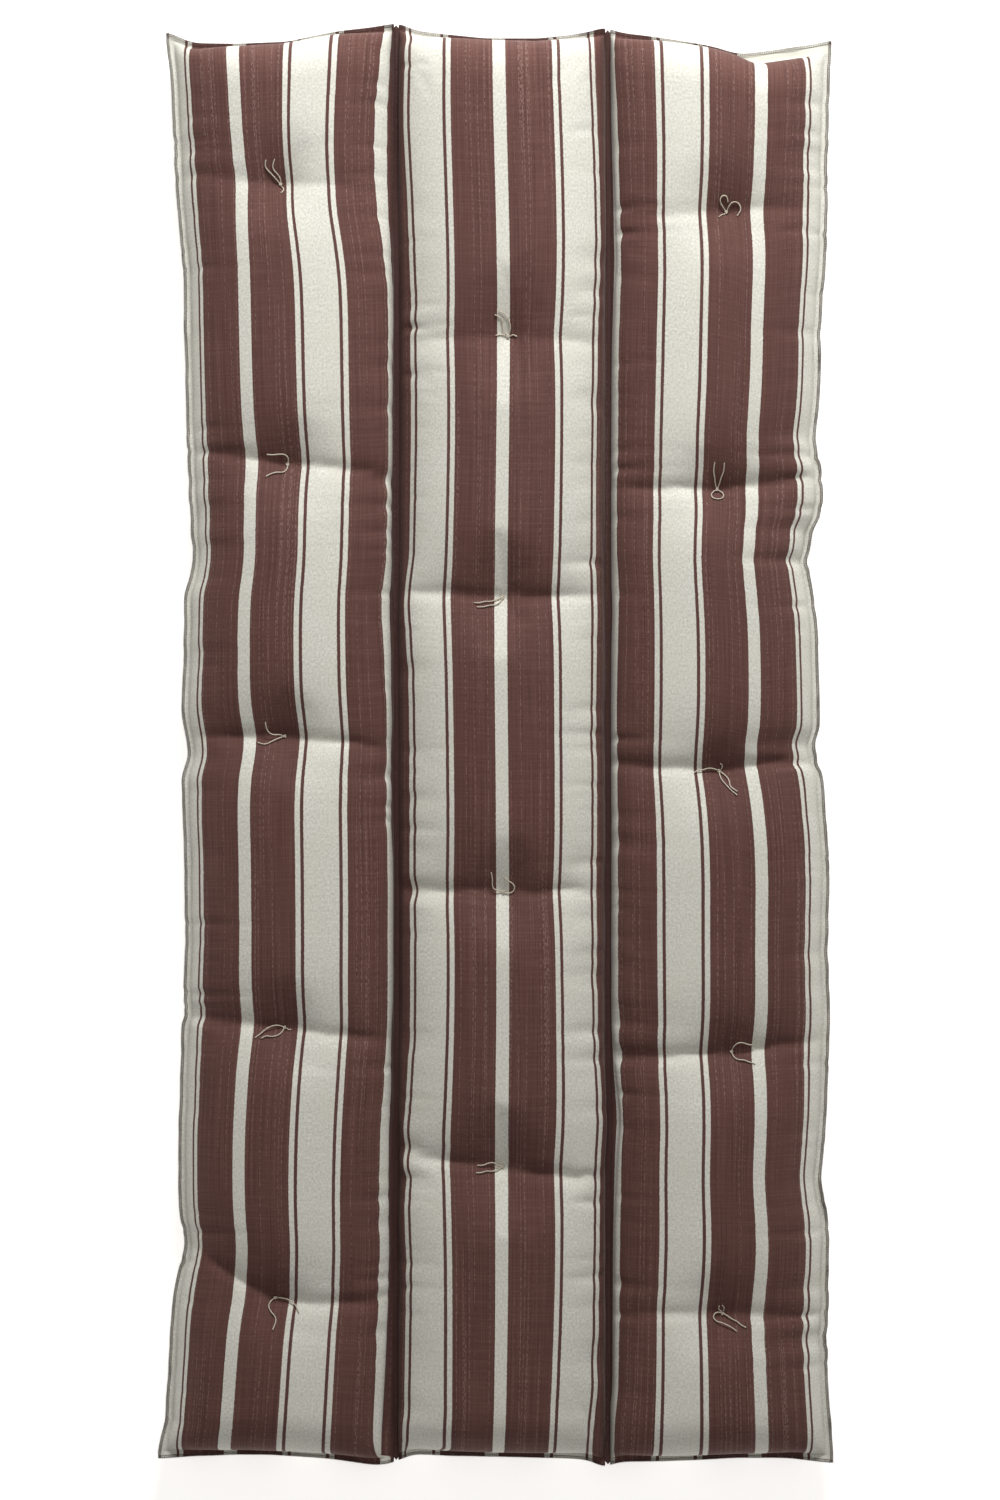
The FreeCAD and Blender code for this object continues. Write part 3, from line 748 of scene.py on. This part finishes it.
def ticking_material(stripes):
    made, t, shader = material("striped ticking")
    uv = made.node_tree.nodes.new("ShaderNodeUVMap")
    uv.uv_map = "cloth"
    pattern = made.node_tree.nodes.new("ShaderNodeGroup")
    pattern.node_tree = stripes
    t.link(uv.outputs[0], pattern.inputs["Cloth"])
    # painted shade: the cloth down in the two valleys is darkened towards the seams, where the shade
    # between the tubes falls
    place = made.node_tree.nodes.new("ShaderNodeSeparateXYZ")
    t.link(made.node_tree.nodes.new("ShaderNodeTexCoord").outputs["Object"], place.inputs[0])
    off = t.math("ABSOLUTE", t.math("SUBTRACT", t.math("ABSOLUTE", place.outputs[0]), valley_x))
    painted_valley_shade = t.math("MULTIPLY", t.between(off, 0.003, 0.012, 0.62, 0.0),
                  t.between(place.outputs[2], seam_z + 0.004, seam_z + 0.040, 1.0, 0.0))
    t.link(t.mix(painted_valley_shade, pattern.outputs["Colour"], colour(34, 18, 16)), shader.inputs["Base Color"])
    t.link(t.bump(pattern.outputs["Height"], 0.00025, 0.5), shader.inputs["Normal"])
    shader.inputs["Roughness"].default_value = 0.8
    shader.inputs["Specular IOR Level"].default_value = 0.25
    shader.inputs["Sheen Weight"].default_value = 0.15
    shader.inputs["Sheen Roughness"].default_value = 0.4
    shader.inputs["Sheen Tint"].default_value = colour(235, 222, 214)
    return made


def thread_material(name, light, dark, roughness=0.8, scale=2500.0):
    """Yarn or fibre of two mottled tones on object coordinates."""
    made, t, shader = material(name)
    place = made.node_tree.nodes.new("ShaderNodeTexCoord").outputs["Object"]
    fibres = t.noise(place, scale=scale, detail=3.0)
    t.link(t.mix(t.between(fibres, 0.35, 0.65), dark, light), shader.inputs["Base Color"])
    t.link(t.bump(fibres, 0.0003, 0.6), shader.inputs["Normal"])
    shader.inputs["Roughness"].default_value = roughness
    return made


stripes = woven_stripes()
finishes = {
    "striped_ticking": ticking_material(stripes),
    "filling": thread_material("cotton filling", colour(236, 230, 214), colour(212, 202, 180), 0.95, 90.0),
    "overlock_thread": thread_material("overlock thread", colour(96, 72, 68), colour(60, 42, 40)),
    "twine": thread_material("twine", colour(226, 218, 203), colour(160, 148, 130)),
}


def finish(obj, slot):
    obj.data.materials.clear()
    obj.data.materials.append(finishes[slot])


# ---------------------------------------------------------------- the ticking and its filling

tubes = {name: Tube(name) for name in ("left", "middle", "right")}
sheets = []
for name, tube in tubes.items():
    for upper in (True, False):
        target, flat = make_sheet(tube, upper)
        obj = grid_object(f"{name}_cloth", target, upper)
        sheets.append((target, flat, obj, tube, upper))
shapes = settle(sheets)

covers = {}
surfaces = {}
for shape, (target, flat, rough, tube, upper) in zip(shapes, sheets):
    bpy.data.objects.remove(rough)
    shape = keep_within(tube, shape, upper)
    points, flat = with_allowance(tube, shape, flat, upper)
    half = "top" if upper else "bottom"
    name = f"{tube.name}_{half}_cover"
    cover = cloth_piece(name, tube, points, flat, upper)
    finish(cover, "striped_ticking")
    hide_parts(f"{tube.name}_{half}_ticking")
    length = flat[-1, 0, 1] - flat[0, 0, 1]
    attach(cover, f"{tube.name}_section")
    covers[tube.name, half] = (shape, points)
    graph = bpy.context.evaluated_depsgraph_get()
    surfaces[tube.name, half] = BVHTree.FromObject(cover, graph)

stuffing_rows, stuffing_columns = 156, 28
stuffing_inset = 0.0025       # from the cloth to the filling under it


def drawn_in(points, sign):
    """Every few threads of a panel, drawn in from the cloth."""
    r = np.linspace(0, points.shape[0] - 1, stuffing_rows).round().astype(int)
    c = np.linspace(0, points.shape[1] - 1, stuffing_columns).round().astype(int)
    depth = np.abs(points[..., 2] - seam_z)
    reach = 2 if points.shape[0] < 200 else 4
    padded = np.pad(depth, reach, "edge")
    around = [padded[i:i + depth.shape[0], j:j + depth.shape[1]]
              for i in range(2 * reach + 1) for j in range(2 * reach + 1)]
    half = points[r][:, c].copy()
    half[..., 2] = seam_z + sign * np.maximum(np.min(around, axis=0)[r][:, c] - stuffing_inset, 0)
    middle_x = (half[:, :1, 0] + half[:, -1:, 0]) / 2
    half[..., 0] = middle_x + (half[..., 0] - middle_x) * 0.98
    half[..., 1] *= 0.997
    return half


for name in tubes:
    upper_half = drawn_in(covers[name, "top"][0], 1)
    lower_half = drawn_in(covers[name, "bottom"][0], -1)
    ring = np.concatenate([upper_half, lower_half[:, ::-1]], axis=1)
    ring = np.concatenate([ring, ring[:, :1]], axis=1)
    stuffing = grid_object(f"{name}_stuffing", ring, close=True)
    finish(stuffing, "filling")
    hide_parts(f"{name}_filling")
    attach(stuffing, f"{name}_section")


# ---------------------------------------------------------------- overlocked edges and valleys

def cut_edge(tube):
    """The line of the cut edge from one valley round to the other, or along both ends."""
    top = covers[tube.name, "top"][1]
    foot, head = top[0], top[-1]
    if tube.name == "middle":
        return [foot, head]
    side = top[:, 0] if tube.name == "left" else top[:, -1]
    if tube.name == "left":
        return [np.concatenate([foot[::-1], side[1:-1], head])]
    return [np.concatenate([foot, side[1:-1], head[::-1]])]


def overlocking(line, pitch=0.0024):
    """The thread wound over a cut edge, and the two needle threads beside it."""
    run = np.concatenate([[0], np.cumsum(np.linalg.norm(np.diff(line, axis=0), axis=1))])
    at = np.arange(0, run[-1], pitch / 4)
    edge = np.stack([np.interp(at, run, line[:, k]) for k in range(3)], axis=-1)
    ahead = np.gradient(edge, axis=0)
    inward = np.stack([-ahead[:, 1], ahead[:, 0], np.zeros(len(at))], axis=-1)
    inward /= np.linalg.norm(inward, axis=1, keepdims=True)
    centre = np.array([line[:, 0].mean(), line[:, 1].mean() * 0.98, seam_z])
    side = np.sign(np.sum(inward * (centre - edge), axis=1))
    inward *= np.sign(np.sum(side))
    up = np.array([0, 0, 1.0])
    reach = 0.0032 + 0.0004 * wander(at, 0.004, 5)
    turns = np.arange(len(at)) % 4
    into = np.choose(turns, [reach, np.full(len(at), -0.0006), reach, np.full(len(at), -0.0006)])
    rise = np.choose(turns, [0.0011, 0.0, -0.0011, 0.0])
    wound = edge + inward * into[:, None] + up * rise[:, None]
    needle = [edge + inward * 0.0034 + up * 0.0011, edge + inward * 0.0034 - up * 0.0011]
    return [wound] + needle


for name, tube in tubes.items():
    paths = []
    for line in cut_edge(tube):
        paths += overlocking(line)
    edging = strands(f"{name}_overlocking", paths, 0.00032, 4)
    finish(edging, "overlock_thread")
    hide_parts(f"{name}_overlocked_edge")
    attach(edging, f"{name}_section")


def web_points(side):
    """The sewn strip along one valley, as rings from its foot to its head."""
    y = np.linspace(foot_edge(side * valley_x) + 0.001, head_edge(side * valley_x) - 0.001, 420)
    across = np.linspace(-web_half_width, web_half_width, 17)
    rise = web_half_thickness * (1 + 0.2 * np.cos(across / web_half_width * math.pi))
    section = [*zip(across, rise), *zip(across[::-1], -rise), (across[0], rise[0])]
    ring = np.array([[(side * valley_x + x, place, seam_z + up) for x, up in section]
                     for place in y])
    ring[..., 0] += 0.0006 * wander(ring[..., 1], 0.02, side)
    ring[..., 2] += 0.0004 * wander(ring[..., 1], 0.006, side + 3)
    for end in (0, -1):
        ring[end] = ring[end].mean(axis=0)
    return ring


for side, child, parent in ((-1, "left_section", "middle_section"), (1, "middle_section", "right_section")):
    side_name = "left" if side < 0 else "right"
    web = grid_object(f"{side_name}_valley_seam", web_points(side), close=True)
    finish(web, "striped_ticking")
    layer = web.data.uv_layers.new(name="cloth")
    for loop, uv in zip(web.data.loops, layer.data):
        place = web.data.vertices[loop.vertex_index].co
        uv.uv = (place.x - side * valley_x + side * 0.172, place.y)
    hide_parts(f"{side_name}_valley_web")
    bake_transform(web)


# ---------------------------------------------------------------- ties and their tails

def cloth_height(tube_name, x, y, half="top"):
    start, way = (0.2, -1) if half == "top" else (-0.1, 1)
    hit = surfaces[tube_name, half].ray_cast(Vector((x, y, start)), Vector((0, 0, way)))
    return hit[0].z


def tail_route(name, points):
    """A tail's points over the settled cloth, starting at its knot's edge."""
    tuft = name.split("_tail_")[0]
    tx, ty = ties[tuft][:2]
    places = [Vector(point) / 1000 for point in points]
    route = [places[0].normalized() * stub_length] + places
    if name.endswith("loop"):
        route.append(places[-1].normalized() * stub_length)
    tube_name = tuft.split("_")[0]
    knot_z = cloth_height(tube_name, tx, ty) + 0.0016
    spots = []
    for place in route:
        x, y = tx + place.x, ty + place.y
        lowest = max(cloth_height(tube_name, x + dx, y + dy)
                     for dx in (-0.001, 0, 0.001) for dy in (-0.001, 0, 0.001))
        spots.append(Vector((x, y, max(lowest + twine_radius + 0.0003, knot_z - 0.001))))
    # twine bridges the narrow folds that it crosses
    for _ in range(12):
        for before, spot, after in zip(spots, spots[1:], spots[2:]):
            spot.z = max(spot.z, (before.z + after.z) / 2)
    return spots


def cord_object(name, route):
    curve = bpy.data.curves.new(name, "CURVE")
    curve.dimensions = "3D"
    curve.bevel_depth = twine_radius
    curve.bevel_resolution = 3
    curve.use_fill_caps = True
    curve.resolution_u = 12
    spline = curve.splines.new("NURBS")
    spline.points.add(len(route) - 1)
    for point, place in zip(spline.points, route):
        point.co = (*place, 1.0)
    spline.order_u = 3
    spline.use_endpoint_u = True
    obj = bpy.data.objects.new(name, curve)
    bpy.context.scene.collection.objects.link(obj)
    return obj


routes = {name: tail_route(name, points) for name, (_, points) in tails.items()}

for name, (length, _) in tails.items():
    tube_name = name.split("_")[0]
    twine = cord_object(f"{name}_twine", routes[name])
    finish(twine, "twine")
    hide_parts(name)
    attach(twine, f"{tube_name}_section")

# Short ends that stay close to their knots: points from the knot, in millimetres
short_ends = {
    "middle_1": [[(-17, 1), (-9, 2.4), (-2, 0.5)], [(2, 0.6), (7, 2), (12, -0.6)]],
    "right_1": [[(-1, -2), (-6, -3.4), (-10, -7)]],
    "right_5": [[(0.6, 2), (2, 7), (-1, 12)], [(-0.6, 2), (-5, 6), (-4.4, 11)]],
    "left_1": [[(1, -2), (4, -7), (0, -12)]],
    "left_4": [[(2, -0.6), (6, -3), (9, -2)]],
    "right_3": [[(2, 1.4), (4, 6), (1, 10)]],
}


def knot_loops(knot, tx):
    """A small trefoil knot, turned its own way at each tie."""
    turn = np.linspace(0, 2 * math.pi, 49)
    lean = wander(np.array([tx * 40]), 1.0, 2)[0] * 3
    loops = np.stack([np.sin(turn) + 2 * np.sin(2 * turn), np.cos(turn) - 2 * np.cos(2 * turn),
                      -1.2 * np.sin(3 * turn)], axis=-1) * 0.00062
    spun = loops.copy()
    spun[:, 0] = loops[:, 0] * math.cos(lean) - loops[:, 1] * math.sin(lean)
    spun[:, 1] = loops[:, 0] * math.sin(lean) + loops[:, 1] * math.cos(lean)
    return spun + np.array(knot)


def stubs(knot, name):
    """The twine from a knot out to where each of its tails begins."""
    lift = Vector((0, 0, 0.0003))
    paths = []
    for tail, route in routes.items():
        if tail.startswith(name + "_tail"):
            ahead = route[1] - route[0]
            paths.append(curved([knot - ahead.normalized() * 0.0008, (knot + route[0]) / 2 + lift,
                                 route[0], route[0] + ahead * 0.12]))
            if tail.endswith("loop"):
                paths.append(curved([knot, (knot + route[-1]) / 2 + lift, route[-1]]))
    return paths


def short_end(tube_name, tx, ty, points):
    spots = []
    for dx, dy in points:
        x, y = tx + dx / 1000, ty + dy / 1000
        spots.append((x, y, cloth_height(tube_name, x, y) + twine_radius + 0.0004))
    return curved(spots)


def under_stitch(tube_name, tx, ty):
    """The stitch under a tie, whose two ends go up into the underside."""
    stitch = []
    for across in (-0.006, -0.003, 0, 0.003, 0.006):
        z = cloth_height(tube_name, tx + across, ty, "bottom")
        stitch.append((tx + across, ty, z - twine_radius if abs(across) < 0.005 else z + 0.002))
    return stitch


for name, (tx, ty, *_) in ties.items():
    tube_name = name.split("_")[0]
    knot = Vector((tx, ty, cloth_height(tube_name, tx, ty) + 0.0018))
    stitch = under_stitch(tube_name, tx, ty)
    paths = [knot_loops(knot, tx), *stubs(knot, name)]
    paths += [short_end(tube_name, tx, ty, points) for points in short_ends.get(name, [])]
    paths += [curved(stitch), np.linspace(np.array(knot), (tx, ty, stitch[2][2]), 12)]
    tie = strands(f"{name}_twine_knot", paths, twine_radius * 0.95, 8)
    finish(tie, "twine")
    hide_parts(f"{name}_tie")
    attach(tie, f"{tube_name}_section")


# ---------------------------------------------------------------- floor, lights and camera

scene = bpy.context.scene
floor_mesh = bpy.data.meshes.new("floor")
floor_bm = bmesh.new()
bmesh.ops.create_grid(floor_bm, x_segments=1, y_segments=1, size=8.0)
floor_bm.to_mesh(floor_mesh)
floor_bm.free()
floor = bpy.data.objects.new("floor", floor_mesh)
scene.collection.objects.link(floor)
floor.location = (0, 0, -0.0006)
paper, _, shader = material("paper floor")
shader.inputs["Base Color"].default_value = (0.95, 0.94, 0.93, 1)
shader.inputs["Roughness"].default_value = 0.9
shader.inputs["Emission Color"].default_value = (1.0, 0.99, 0.98, 1)
shader.inputs["Emission Strength"].default_value = 0.62
floor_mesh.materials.append(paper)


def lamp(name, place, aim, size, energy, tint=(1, 1, 1)):
    data = bpy.data.lights.new(name, "AREA")
    data.shape = "RECTANGLE"
    data.size, data.size_y = size
    data.energy = energy
    data.color = tint
    obj = bpy.data.objects.new(name, data)
    scene.collection.objects.link(obj)
    obj.location = place
    obj.rotation_euler = (Vector(aim) - Vector(place)).to_track_quat("-Z", "Y").to_euler()


lamp("head light", (0.40, 2.8, 1.70), (0.0, 0.1, 0.0), (1.3, 0.8), 99, (1.0, 0.995, 0.98))
lamp("overhead fill", (0.0, 0.2, 3.2), (0.0, 0.0, 0.0), (3.0, 3.0), 6)
world = bpy.data.worlds.new("studio")
world.use_nodes = True
background = world.node_tree.nodes["Background"]
background.inputs["Color"].default_value = (1.0, 0.975, 0.93, 1)
background.inputs["Strength"].default_value = 0.33
scene.world = world
scene.view_settings.view_transform = "Standard"

camera_data = bpy.data.cameras.new("camera")
camera_data.sensor_fit = "VERTICAL"
camera_data.sensor_height = 36
camera_data.lens = 100
camera_data.clip_end = 50
camera = bpy.data.objects.new("camera", camera_data)
scene.collection.objects.link(camera)
camera.location = (-0.0026, -0.0039, 5.49)
scene.camera = camera
